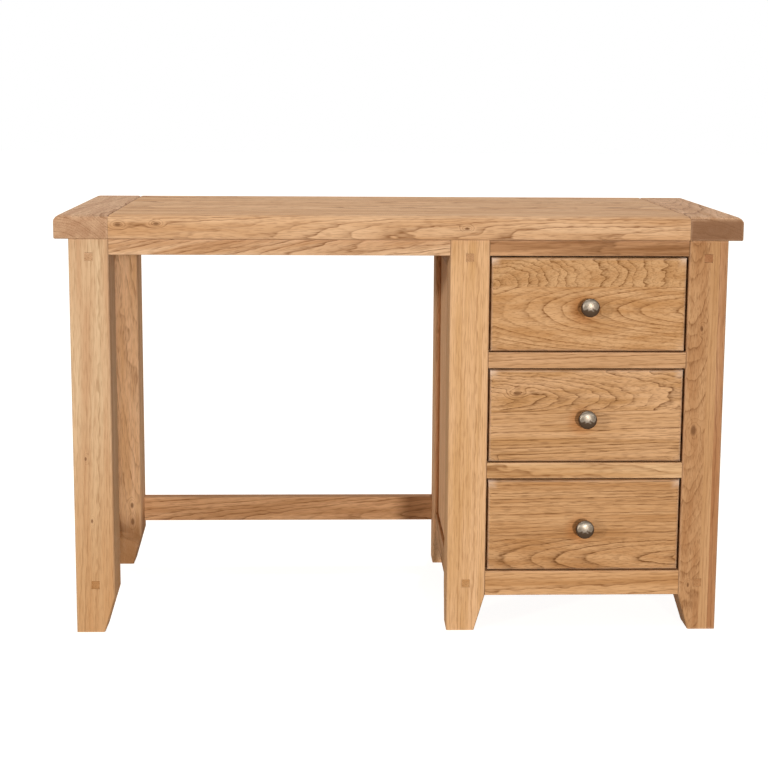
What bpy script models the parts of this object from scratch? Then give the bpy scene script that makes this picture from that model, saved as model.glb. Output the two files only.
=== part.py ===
"""Oak dressing table with one pedestal of three drawers.

Metres, +Z up, +X to the right, front of the table towards -Y. The origin is at
the middle of the footprint, knobs included, on the floor.

The frame is six square legs joined by mortised rails, with a recessed panel in
each side frame and in the back of the pedestal. The top is one long-grained
board with a grooved end board across each end. Each drawer is a dovetailed box
that slides on wooden runners.
"""
from math import cos, pi, sin

import bmesh
import bpy
from mathutils import Matrix, Vector

# Clearance between pieces that fit or rest on each other
FIT = 0.0003

# Top
TABLE_LENGTH = 1.200
TABLE_HEIGHT = 0.750
TOP_DEPTH = 0.500
TOP_THICKNESS = 0.042
END_BOARD_WIDTH = 0.094
TOP_NOSING = 0.014
TOP_UNDER_EDGE = 0.003
TOP_CORNER = 0.003
CORNER_FACETS = 2
NOSING_FACETS = 4
UNDER_EDGE_FACETS = 2
V_GROOVE_DEPTH = 0.0032
TONGUE_THICKNESS = 0.012
TONGUE_LENGTH = 0.016
TONGUE_END_STOP = 0.030
OVERHANG_SIDE = 0.024
OVERHANG_FRONT = 0.008
OVERHANG_BACK = 0.008

# Legs
LEG_WIDTH = 0.069
LEG_DEPTH = 0.080
LEG_EDGE = 0.002
FOOT_TAPER = 0.019
FOOT_HEIGHT = 0.065

# Rails across the front and back
RAIL_THICKNESS = 0.022
RAIL_SETBACK = 0.0005
RAIL_EDGE = 0.001
APRON_HEIGHT = 0.028
DRAWER_RAIL_HEIGHT = 0.0285
BOTTOM_RAIL_HEIGHT = 0.045
REAR_APRON_HEIGHT = 0.040
REAR_SETBACK = 0.003
STRETCHER_HEIGHT = 0.0495
STRETCHER_LIFT = 0.0815

# Side frames and the back of the pedestal
SIDE_RAIL_SETBACK = 0.004
SIDE_TOP_RAIL_HEIGHT = 0.062
PANEL_THICKNESS = 0.010
PANEL_GROOVE = 0.008

# Mortise and tenon joints
TENON_THICKNESS = 0.009
TENON_LENGTH = 0.020
NARROW_SHOULDER = 0.005
WIDE_SHOULDER = 0.010

# Square pegs on the front faces of the legs
PEG_WIDTH = 0.014
PEG_LENGTH = 0.025
PEG_EDGE = 0.0007

# Pedestal and drawers, named from the floor up
DRAWERS = ("lower", "middle", "upper")
RAILS_BETWEEN_DRAWERS = ("lower", "upper")
DRAWER_OPENING_WIDTH = 0.351
RUNNER_WIDTH = 0.018
RUNNER_HEIGHT = 0.022
STOP_HEIGHT = 0.012
FRONT_THICKNESS = 0.022
FRONT_EDGE = 0.007
FRONT_EDGE_FACETS = 3
FRONT_GAP_SIDE = 0.003
FRONT_GAP_TOP = 0.003
FRONT_GAP_BOTTOM = 0.002
DRAWER_REAR_ROOM = 0.034
DRAWER_SIDE_THICKNESS = 0.012
DRAWER_SIDE_DROP = 0.011
DRAWER_BACK_THICKNESS = 0.010
DRAWER_BACK_DROP = 0.006
HOUSING_DEPTH = 0.005
HOUSING_INSET = 0.010
DRAWER_BOTTOM_THICKNESS = 0.006
BOTTOM_LIFT = 0.012
BOTTOM_GROOVE = 0.005
TAIL_COUNT = 4
TAIL_LENGTH = 0.014
TAIL_WIDE = 0.026
TAIL_NARROW = 0.020

# Knobs
KNOB_PROJECTION = 0.028
KNOB_RADIUS = 0.0165
KNOB_CAP_DOME = 0.0065
KNOB_RIM = 0.0022
KNOB_NECK_RADIUS = 0.0055
KNOB_UNDER_SLOPE = 0.55
KNOB_NECK_FLARE = 0.0027
KNOB_COLLAR_RADIUS = 0.0100
KNOB_COLLAR_THICKNESS = 0.0035
KNOB_COLLAR_EDGE = 0.0008
KNOB_STUD_RADIUS = 0.0025
KNOB_STUD_LENGTH = 0.016
KNOB_DROP = 0.0025
KNOB_STEPS = 32
KNOB_CROWN_FACETS = 6
KNOB_UNDER_FACETS = 4
KNOB_FLARE_FACETS = 3

# Places worked out from the sizes above
KNOB_REACH = KNOB_PROJECTION - OVERHANG_FRONT
OVERALL_DEPTH = TOP_DEPTH + KNOB_REACH
TOP_FRONT = -OVERALL_DEPTH / 2 + KNOB_REACH
TOP_BACK = TOP_FRONT + TOP_DEPTH
FRAME_FRONT = TOP_FRONT + OVERHANG_FRONT
FRAME_BACK = TOP_BACK - OVERHANG_BACK
FRAME_LEFT = -TABLE_LENGTH / 2 + OVERHANG_SIDE
FRAME_RIGHT = TABLE_LENGTH / 2 - OVERHANG_SIDE
TOP_UNDERSIDE = TABLE_HEIGHT - TOP_THICKNESS
FRAME_TOP = TOP_UNDERSIDE - FIT
PEDESTAL_RIGHT_LEG = FRAME_RIGHT - LEG_WIDTH
OPENING_LEFT = PEDESTAL_RIGHT_LEG - DRAWER_OPENING_WIDTH
PEDESTAL_LEFT = OPENING_LEFT - LEG_WIDTH
OPENING_RIGHT = PEDESTAL_RIGHT_LEG
KNEEHOLE_LEFT = FRAME_LEFT + LEG_WIDTH
APRON_BOTTOM = TOP_UNDERSIDE - APRON_HEIGHT
LOWEST_OPENING = FOOT_HEIGHT + BOTTOM_RAIL_HEIGHT
OPENING_HEIGHT = (
    APRON_BOTTOM - LOWEST_OPENING - len(RAILS_BETWEEN_DRAWERS) * DRAWER_RAIL_HEIGHT
) / len(DRAWERS)
DRAWER_SIDE_HEIGHT = OPENING_HEIGHT - DRAWER_SIDE_DROP
RAIL_FRONT = FRAME_FRONT + RAIL_SETBACK
RAIL_BACK = RAIL_FRONT + RAIL_THICKNESS
REAR_RAIL_BACK = FRAME_BACK - REAR_SETBACK
REAR_RAIL_FRONT = REAR_RAIL_BACK - RAIL_THICKNESS
FRONT_LEG_REAR = FRAME_FRONT + LEG_DEPTH
REAR_LEG_FRONT = FRAME_BACK - LEG_DEPTH

parts = bpy.data.collections.new("dressing_table")
cutters = bpy.data.collections.new("cutters")


def clear_scene():
    """Remove what is in the scene and link the two collections."""
    for old in list(bpy.data.objects):
        bpy.data.objects.remove(old, do_unlink=True)
    for collection in (parts, cutters):
        bpy.context.scene.collection.children.link(collection)


def finish(name, colour, roughness, metallic=0.0):
    """A material of one colour for a piece."""
    material = bpy.data.materials.new(name)
    material.use_nodes = True
    shader = material.node_tree.nodes["Principled BSDF"]
    shader.inputs["Base Color"].default_value = (*colour, 1.0)
    shader.inputs["Roughness"].default_value = roughness
    shader.inputs["Metallic"].default_value = metallic
    material.diffuse_color = (*colour, 1.0)
    return material


OAK_TOP = finish("waxed_oak_top", (0.46, 0.26, 0.11), 0.45)
OAK_FRAME = finish("waxed_oak_frame", (0.52, 0.31, 0.14), 0.5)
OAK_FRONT = finish("waxed_oak_drawer_front", (0.44, 0.25, 0.11), 0.45)
OAK_PEG = finish("oak_end_grain_peg", (0.36, 0.19, 0.08), 0.5)
DRAWER_LINING = finish("pale_drawer_lining", (0.60, 0.44, 0.26), 0.6)
PEWTER = finish("antique_pewter", (0.36, 0.33, 0.28), 0.35, 1.0)


def box_mesh(size):
    """A bmesh of a box of this size, centred on the origin."""
    bm = bmesh.new()
    scale = Matrix.Diagonal((*size, 1.0))
    bmesh.ops.create_cube(bm, size=1.0, matrix=scale)
    return bm


def put(name, bm, centre, material, parent=None):
    """Turn a bmesh into a named part at its centre, under its parent if it has one."""
    mesh = bpy.data.meshes.new(name)
    bm.to_mesh(mesh)
    bm.free()
    piece = bpy.data.objects.new(name, mesh)
    parts.objects.link(piece)
    mesh.materials.append(material)
    place(piece, centre, parent)
    return piece


def place(piece, centre, parent=None):
    """Put a piece at a place given in the table's frame."""
    piece.location = centre
    if parent is not None:
        piece.parent = parent
        piece.location = centre - parent.location


def middle(low, high):
    return (Vector(low) + Vector(high)) / 2


def span(low, high):
    return Vector(high) - Vector(low)


def ease(bm, edges, width, facets):
    """Round these edges of a bmesh."""
    bmesh.ops.bevel(
        bm, geom=edges, offset=width, segments=facets,
        profile=0.5, affect="EDGES", clamp_overlap=True,
    )


def edges_along(bm, axis, test=None):
    """The straight edges that run along one axis, with both ends passing the test."""
    found = []
    for edge in bm.edges:
        a, b = (vert.co for vert in edge.verts)
        run = abs(b[axis] - a[axis])
        if run > 0.99 * (b - a).length and (test is None or (test(a) and test(b))):
            found.append(edge)
    return found


def block(name, low, high, material, edge=0.0, long_axis=1, parent=None):
    """A rectangular piece, with the edges along its long axis eased."""
    bm = box_mesh(span(low, high))
    if edge:
        ease(bm, edges_along(bm, long_axis), edge, 1)
    return put(name, bm, middle(low, high), material, parent)


def hide_cutter(cutter):
    cutter.display_type = "WIRE"
    cutter.hide_render = True


def box_cutter(name, low, high, grow=0.0, parent=None, turn=None):
    """A box that cuts or joins other pieces, grown by a clearance on every side."""
    margin = Vector((grow, grow, grow))
    low = Vector(low) - margin
    high = Vector(high) + margin
    bm = box_mesh(span(low, high))
    if turn is not None:
        bm.transform(turn)
    mesh = bpy.data.meshes.new(name)
    bm.to_mesh(mesh)
    bm.free()
    cutter = bpy.data.objects.new(name, mesh)
    cutters.objects.link(cutter)
    hide_cutter(cutter)
    place(cutter, middle(low, high), parent)
    return cutter


def combine(piece, cutter, operation="DIFFERENCE"):
    modifier = piece.modifiers.new(cutter.name, "BOOLEAN")
    modifier.operation = operation
    modifier.object = cutter
    modifier.solver = "EXACT"


def overlaps(a, b):
    """Whether two boxes, each a low and a high corner, share some space."""
    return all(a[0][i] < b[1][i] and b[0][i] < a[1][i] for i in range(3))


def seat(host, host_box, guest_name, guest_box, open_side=None):
    """Cut a seat for a guest box out of a host piece, where they meet.

    open_side is a vector that lengthens the cut, for a groove that runs out.
    """
    if not overlaps(host_box, guest_box):
        return
    low = Vector(guest_box[0])
    high = Vector(guest_box[1])
    if open_side is not None:
        for i in range(3):
            if open_side[i] < 0:
                low[i] += open_side[i]
            else:
                high[i] += open_side[i]
    name = "seat_" + guest_name + "_in_" + host.name
    combine(host, box_cutter(name, low, high, FIT))


# Legs
LEG_PLACES = {
    "leg_front_left": (FRAME_LEFT, FRAME_FRONT, 1, 1),
    "leg_rear_left": (FRAME_LEFT, REAR_LEG_FRONT, 1, -1),
    "leg_front_centre": (PEDESTAL_LEFT, FRAME_FRONT, 1, 1),
    "leg_rear_centre": (PEDESTAL_LEFT, REAR_LEG_FRONT, 1, -1),
    "leg_front_right": (PEDESTAL_RIGHT_LEG, FRAME_FRONT, -1, 1),
    "leg_rear_right": (PEDESTAL_RIGHT_LEG, REAR_LEG_FRONT, -1, -1),
}


def leg_box(name):
    x, y = LEG_PLACES[name][:2]
    return (x, y, 0.0), (x + LEG_WIDTH, y + LEG_DEPTH, FRAME_TOP)


def make_leg(name):
    """A square leg whose foot tapers on its two inner faces."""
    inner_x, inner_y = LEG_PLACES[name][2:]
    low, high = leg_box(name)
    centre = middle(low, high)
    bm = box_mesh(span(low, high))
    ease(bm, edges_along(bm, 2), LEG_EDGE, 1)
    bmesh.ops.bisect_plane(
        bm, geom=bm.verts[:] + bm.edges[:] + bm.faces[:],
        plane_co=(0, 0, FOOT_HEIGHT - centre.z), plane_no=(0, 0, 1),
    )
    for vert in bm.verts:
        if vert.co.z + centre.z < FOOT_HEIGHT / 2:
            if vert.co.x * inner_x > 0:
                vert.co.x -= inner_x * FOOT_TAPER
            if vert.co.y * inner_y > 0:
                vert.co.y -= inner_y * FOOT_TAPER
    return put(name, bm, centre, OAK_FRAME)


# Rails, each with a tenon on both ends
def rail_row(name, low, high, axis, across, shoulder):
    """A rail's box, the axis it runs along, the axis of its thickness and its tenons."""
    low, high = Vector(low), Vector(high)
    tenon_low, tenon_high = low.copy(), high.copy()
    centre = (low[across] + high[across]) / 2
    tenon_low[across] = centre - TENON_THICKNESS / 2
    tenon_high[across] = centre + TENON_THICKNESS / 2
    tenon_low[2] += shoulder
    tenon_high[2] -= shoulder
    ends = []
    for sign, edge in ((-1, low), (1, high)):
        a, b = tenon_low.copy(), tenon_high.copy()
        if sign < 0:
            a[axis], b[axis] = edge[axis] - FIT - TENON_LENGTH, edge[axis]
        else:
            a[axis], b[axis] = edge[axis], edge[axis] + FIT + TENON_LENGTH
        ends.append((a, b))
    return {"name": name, "box": (low, high), "axis": axis, "tenons": ends}


def cross_rail(name, left, right, front, bottom, height, shoulder=NARROW_SHOULDER):
    """A rail that runs along X between two legs."""
    low = (left + FIT, front, bottom)
    high = (right - FIT, front + RAIL_THICKNESS, bottom + height)
    return rail_row(name, low, high, 0, 1, shoulder)


def side_rail(name, outer, inward, bottom, height):
    """A rail that runs along Y in a side frame, set in from the legs' outer face."""
    face = outer + inward * SIDE_RAIL_SETBACK
    far = face + inward * RAIL_THICKNESS
    low = (min(face, far), FRONT_LEG_REAR + FIT, bottom)
    high = (max(face, far), REAR_LEG_FRONT - FIT, bottom + height)
    return rail_row(name, low, high, 1, 0, WIDE_SHOULDER)


def opening_bottom(index):
    """Height of the rail top under a drawer, counted from the lowest."""
    return LOWEST_OPENING + index * (OPENING_HEIGHT + DRAWER_RAIL_HEIGHT)


SIDE_FRAMES = {
    "left_end": (FRAME_LEFT, 1),
    "pedestal_inner": (PEDESTAL_LEFT, 1),
    "pedestal_outer": (FRAME_RIGHT, -1),
}


def rail_rows():
    """Every rail of the frame."""
    apron = APRON_HEIGHT - FIT
    side_top = FRAME_TOP - SIDE_TOP_RAIL_HEIGHT
    rows = [
        cross_rail("apron_front", KNEEHOLE_LEFT, PEDESTAL_LEFT, RAIL_FRONT, APRON_BOTTOM, apron),
        cross_rail("apron_rear", KNEEHOLE_LEFT, PEDESTAL_LEFT, REAR_RAIL_FRONT,
                   FRAME_TOP - REAR_APRON_HEIGHT, REAR_APRON_HEIGHT),
        cross_rail("stretcher_rear", KNEEHOLE_LEFT, PEDESTAL_LEFT, REAR_RAIL_FRONT,
                   STRETCHER_LIFT, STRETCHER_HEIGHT),
        cross_rail("drawer_rail_top", OPENING_LEFT, OPENING_RIGHT, RAIL_FRONT, APRON_BOTTOM, apron),
        cross_rail("drawer_rail_bottom", OPENING_LEFT, OPENING_RIGHT, RAIL_FRONT,
                   FOOT_HEIGHT, BOTTOM_RAIL_HEIGHT),
        cross_rail("back_rail_top", OPENING_LEFT, OPENING_RIGHT, REAR_RAIL_FRONT,
                   side_top, SIDE_TOP_RAIL_HEIGHT, WIDE_SHOULDER),
        cross_rail("back_rail_bottom", OPENING_LEFT, OPENING_RIGHT, REAR_RAIL_FRONT,
                   FOOT_HEIGHT, BOTTOM_RAIL_HEIGHT, WIDE_SHOULDER),
    ]
    for index, level in enumerate(RAILS_BETWEEN_DRAWERS, start=1):
        rows.append(cross_rail(
            "drawer_rail_" + level, OPENING_LEFT, OPENING_RIGHT, RAIL_FRONT,
            opening_bottom(index) - DRAWER_RAIL_HEIGHT, DRAWER_RAIL_HEIGHT,
        ))
    for frame, (outer, inward) in SIDE_FRAMES.items():
        rows.append(side_rail(frame + "_rail_top", outer, inward, side_top, SIDE_TOP_RAIL_HEIGHT))
        rows.append(side_rail(frame + "_rail_bottom", outer, inward, FOOT_HEIGHT, BOTTOM_RAIL_HEIGHT))
    return rows


def make_rail(row):
    low, high = row["box"]
    piece = block(row["name"], low, high, OAK_FRAME, RAIL_EDGE, row["axis"])
    for end, (a, b) in zip(("start", "end"), row["tenons"]):
        # The tenon's root goes into the rail, so that the two join as one solid
        root = Vector(a), Vector(b)
        if end == "start":
            root[1][row["axis"]] += NARROW_SHOULDER
        else:
            root[0][row["axis"]] -= NARROW_SHOULDER
        tenon = box_cutter("tenon_" + end + "_" + row["name"], *root)
        combine(piece, tenon, "UNION")
    return piece


# Panels held in grooves
def panel_rows():
    """The boxes of the side panels and of the pedestal's back panel."""
    bottom = FOOT_HEIGHT + BOTTOM_RAIL_HEIGHT - PANEL_GROOVE
    top = FRAME_TOP - SIDE_TOP_RAIL_HEIGHT + PANEL_GROOVE
    inset = SIDE_RAIL_SETBACK + (RAIL_THICKNESS - PANEL_THICKNESS) / 2
    rows = {}
    for frame, (outer, inward) in SIDE_FRAMES.items():
        a = outer + inward * inset
        b = a + inward * PANEL_THICKNESS
        low = (min(a, b), FRONT_LEG_REAR - PANEL_GROOVE, bottom)
        high = (max(a, b), REAR_LEG_FRONT + PANEL_GROOVE, top)
        rows[frame + "_panel"] = low, high
    back = REAR_RAIL_FRONT + (RAIL_THICKNESS - PANEL_THICKNESS) / 2
    rows["back_panel"] = (
        (OPENING_LEFT - PANEL_GROOVE, back, bottom),
        (OPENING_RIGHT + PANEL_GROOVE, back + PANEL_THICKNESS, top),
    )
    return rows


# Square pegs
def peg_rows():
    """The boxes of the pegs, level with the middle of the side rails."""
    heights = {
        "top": FRAME_TOP - SIDE_TOP_RAIL_HEIGHT / 2,
        "bottom": FOOT_HEIGHT + BOTTOM_RAIL_HEIGHT / 2,
    }
    half = PEG_WIDTH / 2
    rows = {}
    for side in ("left", "centre", "right"):
        x = LEG_PLACES["leg_front_" + side][0] + LEG_WIDTH / 2
        for level, z in heights.items():
            rows["peg_%s_%s" % (side, level)] = (
                (x - half, FRAME_FRONT, z - half),
                (x + half, FRAME_FRONT + PEG_LENGTH, z + half),
            )
    return rows


def make_frame():
    """Legs, rails, panels and pegs, with every seat cut from the piece that fits it."""
    rails = rail_rows()
    panels = panel_rows()
    pegs = peg_rows()
    for name in LEG_PLACES:
        leg = make_leg(name)
        box = leg_box(name)
        for row in rails:
            for end, tenon in zip(("start", "end"), row["tenons"]):
                seat(leg, box, row["name"] + "_" + end, tenon)
        for panel, guest in panels.items():
            seat(leg, box, panel, guest)
        for peg, guest in pegs.items():
            seat(leg, box, peg, guest, open_side=(0, -PEG_LENGTH, 0))
    for row in rails:
        rail = make_rail(row)
        for panel, guest in panels.items():
            if overlaps(row["box"], guest):
                # The groove runs out past both ends of the rail
                run = Vector((0, 0, 0))
                run[row["axis"]] = LEG_WIDTH
                seat(rail, row["box"], panel, (Vector(guest[0]) - run, Vector(guest[1]) + run))
    for name, (low, high) in panels.items():
        block(name, low, high, OAK_FRAME)
    for name, (low, high) in pegs.items():
        block(name, low, high, OAK_PEG, PEG_EDGE)


# Top
def nosed_board(name, low, high, outer):
    """A top board whose outer edges are nosed, with mitred and eased corners on one end."""
    size = span(low, high)
    half = size / 2
    bm = box_mesh(size)

    def on_rim(edge):
        """Whether an edge lies on the front, back or outer end of the board."""
        a, b = (vert.co for vert in edge.verts)
        if abs(a.z - b.z) > 1e-6:
            return False
        return not all(abs(co.x + outer * half.x) < 1e-6 for co in (a, b)) if outer else (
            abs(a.y - b.y) < 1e-6
        )

    for face_z, width, facets in (
        (half.z, TOP_NOSING, NOSING_FACETS),
        (-half.z, TOP_UNDER_EDGE, UNDER_EDGE_FACETS),
    ):
        rim = [e for e in bm.edges if on_rim(e) and abs(e.verts[0].co.z - face_z) < 1e-6]
        ease(bm, rim, width, facets)
    if outer:
        ease(bm, edges_along(bm, 2, lambda co: co.x * outer > 0), TOP_CORNER, CORNER_FACETS)
    return put(name, bm, middle(low, high), OAK_TOP)


def make_top():
    """The long board and its two end boards, joined by a hidden tongue and a V groove."""
    joint = TABLE_LENGTH / 2 - END_BOARD_WIDTH
    mid_z = (TABLE_HEIGHT + TOP_UNDERSIDE) / 2
    panel = nosed_board(
        "top_panel", (-joint, TOP_FRONT, TOP_UNDERSIDE), (joint, TOP_BACK, TABLE_HEIGHT), 0
    )
    quarter_turn = Matrix.Rotation(pi / 4, 4, "Y")
    for side, sign in (("left", -1), ("right", 1)):
        inner = sign * (joint + FIT)
        outer = sign * TABLE_LENGTH / 2
        board = nosed_board(
            "top_end_" + side,
            (min(inner, outer), TOP_FRONT, TOP_UNDERSIDE),
            (max(inner, outer), TOP_BACK, TABLE_HEIGHT), sign,
        )
        root = sign * (joint - TONGUE_LENGTH)
        tip = sign * (joint + TONGUE_LENGTH)
        low = (min(root, tip), TOP_FRONT + TONGUE_END_STOP, mid_z - TONGUE_THICKNESS / 2)
        high = (max(root, tip), TOP_BACK - TONGUE_END_STOP, mid_z + TONGUE_THICKNESS / 2)
        combine(panel, box_cutter("tongue_" + side, low, high), "UNION")
        combine(board, box_cutter("tongue_groove_" + side, low, high, FIT))
        reach = V_GROOVE_DEPTH / 2 ** 0.5
        line = sign * (joint + FIT / 2)
        vee = box_cutter(
            "v_groove_" + side,
            (line - reach, TOP_FRONT - TOP_NOSING, TABLE_HEIGHT - reach),
            (line + reach, TOP_BACK + TOP_NOSING, TABLE_HEIGHT + reach),
            turn=quarter_turn,
        )
        combine(panel, vee)
        combine(board, vee)


# Runners and kickers
def outline_solid(name, points, low_x, thickness, material, parent=None):
    """A flat outline in the YZ plane, given in order, made thick along X."""
    curve = bpy.data.curves.new(name, "CURVE")
    curve.dimensions = "2D"
    curve.fill_mode = "BOTH"
    curve.extrude = thickness / 2
    spline = curve.splines.new("POLY")
    spline.points.add(len(points) - 1)
    for point, (y, z) in zip(spline.points, points):
        point.co = (y, z, 0.0, 1.0)
    spline.use_cyclic_u = True
    guide = bpy.data.objects.new(name + "_outline", curve)
    parts.objects.link(guide)
    mesh = bpy.data.meshes.new_from_object(guide.evaluated_get(bpy.context.evaluated_depsgraph_get()))
    bpy.data.objects.remove(guide, do_unlink=True)
    bm = bmesh.new()
    bm.from_mesh(mesh)
    bmesh.ops.remove_doubles(bm, verts=bm.verts[:], dist=1e-6)
    # The outline's own X and Y become the table's Y and Z
    bm.transform(Matrix(((0, 0, 1, 0), (1, 0, 0, 0), (0, 1, 0, 0), (0, 0, 0, 1))))
    centre = Vector((low_x + thickness / 2, 0, 0))
    box_low = Vector((0, min(p[0] for p in points), min(p[1] for p in points)))
    box_high = Vector((0, max(p[0] for p in points), max(p[1] for p in points)))
    shift = (box_low + box_high) / 2
    bm.transform(Matrix.Translation(-shift))
    bmesh.ops.recalc_face_normals(bm, faces=bm.faces[:])
    return put(name, bm, centre + shift, material, parent)


RUNNER_FRONT = RAIL_BACK + FIT
RUNNER_REAR = REAR_RAIL_FRONT - FIT
DRAWER_REAR = REAR_RAIL_FRONT - DRAWER_REAR_ROOM
RUNNER_SIDES = {
    "left": OPENING_LEFT + FIT,
    "right": OPENING_RIGHT - FIT - RUNNER_WIDTH,
}


def make_runners():
    """Bearers under each drawer, with a stop at the rear, and kickers over the top one."""
    stop = DRAWER_REAR + FIT
    for index, drawer in enumerate(DRAWERS):
        top = opening_bottom(index)
        bottom = top - RUNNER_HEIGHT
        points = [
            (RUNNER_FRONT, bottom), (RUNNER_REAR, bottom), (RUNNER_REAR, top + STOP_HEIGHT),
            (stop, top + STOP_HEIGHT), (stop, top), (RUNNER_FRONT, top),
        ]
        for side, x in RUNNER_SIDES.items():
            name = "runner_%s_%s" % (drawer, side)
            outline_solid(name, points, x, RUNNER_WIDTH, DRAWER_LINING)
    for side, x in RUNNER_SIDES.items():
        low = (x, RUNNER_FRONT, APRON_BOTTOM)
        high = (x + RUNNER_WIDTH, RUNNER_REAR, APRON_BOTTOM + RUNNER_HEIGHT)
        block("kicker_" + side, low, high, DRAWER_LINING, RAIL_EDGE)


# Drawers
FRONT_LEFT = OPENING_LEFT + FRONT_GAP_SIDE
FRONT_RIGHT = OPENING_RIGHT - FRONT_GAP_SIDE
FRONT_BACK = FRAME_FRONT + FRONT_THICKNESS
SIDE_FRONT = FRONT_BACK + FIT
TAIL_PITCH = DRAWER_SIDE_HEIGHT / TAIL_COUNT


def side_outline(floor):
    """The outline of a drawer side in Y and Z, with its row of tails at the front."""
    top = floor + DRAWER_SIDE_HEIGHT
    points = [(DRAWER_REAR, floor), (DRAWER_REAR, top), (SIDE_FRONT, top)]
    tip = SIDE_FRONT - TAIL_LENGTH
    for tail in reversed(range(TAIL_COUNT)):
        centre = floor + (tail + 0.5) * TAIL_PITCH
        points += [
            (SIDE_FRONT, centre + TAIL_NARROW / 2), (tip, centre + TAIL_WIDE / 2),
            (tip, centre - TAIL_WIDE / 2), (SIDE_FRONT, centre - TAIL_NARROW / 2),
        ]
    points.append((SIDE_FRONT, floor))
    return points


def tail_cutter(name, x, width, floor, parent):
    """The sockets for one row of tails, grown by the clearance."""
    half_wide = TAIL_WIDE / 2 + FIT
    half_narrow = TAIL_NARROW / 2 + FIT
    tip = SIDE_FRONT - TAIL_LENGTH - FIT
    root = FRONT_BACK + FIT
    bm = bmesh.new()
    for tail in range(TAIL_COUNT):
        made = bmesh.ops.create_cube(bm, size=1.0)
        centre = floor + (tail + 0.5) * TAIL_PITCH
        for vert in made["verts"]:
            half = half_narrow if vert.co.y > 0 else half_wide
            vert.co.x = x + width * (vert.co.x + 0.5)
            vert.co.y = root if vert.co.y > 0 else tip
            vert.co.z = centre + (half if vert.co.z > 0 else -half)
    bm.transform(Matrix.Translation(-parent.location))
    mesh = bpy.data.meshes.new(name)
    bm.to_mesh(mesh)
    bm.free()
    cutter = bpy.data.objects.new(name, mesh)
    cutters.objects.link(cutter)
    hide_cutter(cutter)
    cutter.parent = parent
    return cutter


def knob_profile():
    """Radius and height of the knob's outline, from the crown down to the stud's tip."""
    rim_top = KNOB_PROJECTION - KNOB_CAP_DOME
    points = [(0.0, KNOB_PROJECTION)]
    for step in range(1, KNOB_CROWN_FACETS + 1):
        angle = pi / 2 * step / KNOB_CROWN_FACETS
        points.append((KNOB_RADIUS * sin(angle), rim_top + KNOB_CAP_DOME * cos(angle)))
    points.append((KNOB_RADIUS, rim_top - KNOB_RIM))
    neck_top = rim_top - KNOB_RIM - (KNOB_RADIUS - KNOB_NECK_RADIUS) * KNOB_UNDER_SLOPE
    for step in range(1, KNOB_UNDER_FACETS + 1):
        angle = pi / 2 * step / KNOB_UNDER_FACETS
        points.append((
            KNOB_RADIUS - (KNOB_RADIUS - KNOB_NECK_RADIUS) * sin(angle),
            neck_top + (rim_top - KNOB_RIM - neck_top) * cos(angle),
        ))
    collar_top = KNOB_COLLAR_THICKNESS + FIT
    for step in range(KNOB_FLARE_FACETS + 1):
        angle = pi / 2 * step / KNOB_FLARE_FACETS
        points.append((
            KNOB_NECK_RADIUS + KNOB_NECK_FLARE * (1 - cos(angle)),
            collar_top + KNOB_NECK_FLARE * (1 - sin(angle)),
        ))
    points += [
        (KNOB_COLLAR_RADIUS - KNOB_COLLAR_EDGE, collar_top),
        (KNOB_COLLAR_RADIUS, collar_top - KNOB_COLLAR_EDGE),
        (KNOB_COLLAR_RADIUS, FIT), (KNOB_STUD_RADIUS, FIT),
        (KNOB_STUD_RADIUS, -KNOB_STUD_LENGTH), (0.0, -KNOB_STUD_LENGTH),
    ]
    return points


def make_knob(name, centre, parent):
    """A turned mushroom knob with its screw stud, axis along -Y."""
    bm = bmesh.new()
    verts = [bm.verts.new((radius, 0.0, height)) for radius, height in knob_profile()]
    for a, b in zip(verts, verts[1:]):
        bm.edges.new((a, b))
    knob = put(name, bm, centre, PEWTER, parent)
    knob.rotation_euler = (pi / 2, 0.0, 0.0)
    turn = knob.modifiers.new("turned", "SCREW")
    turn.steps = KNOB_STEPS
    turn.render_steps = KNOB_STEPS
    turn.use_merge_vertices = True
    turn.merge_threshold = 0.00001
    turn.use_smooth_shade = True
    return knob


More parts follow.
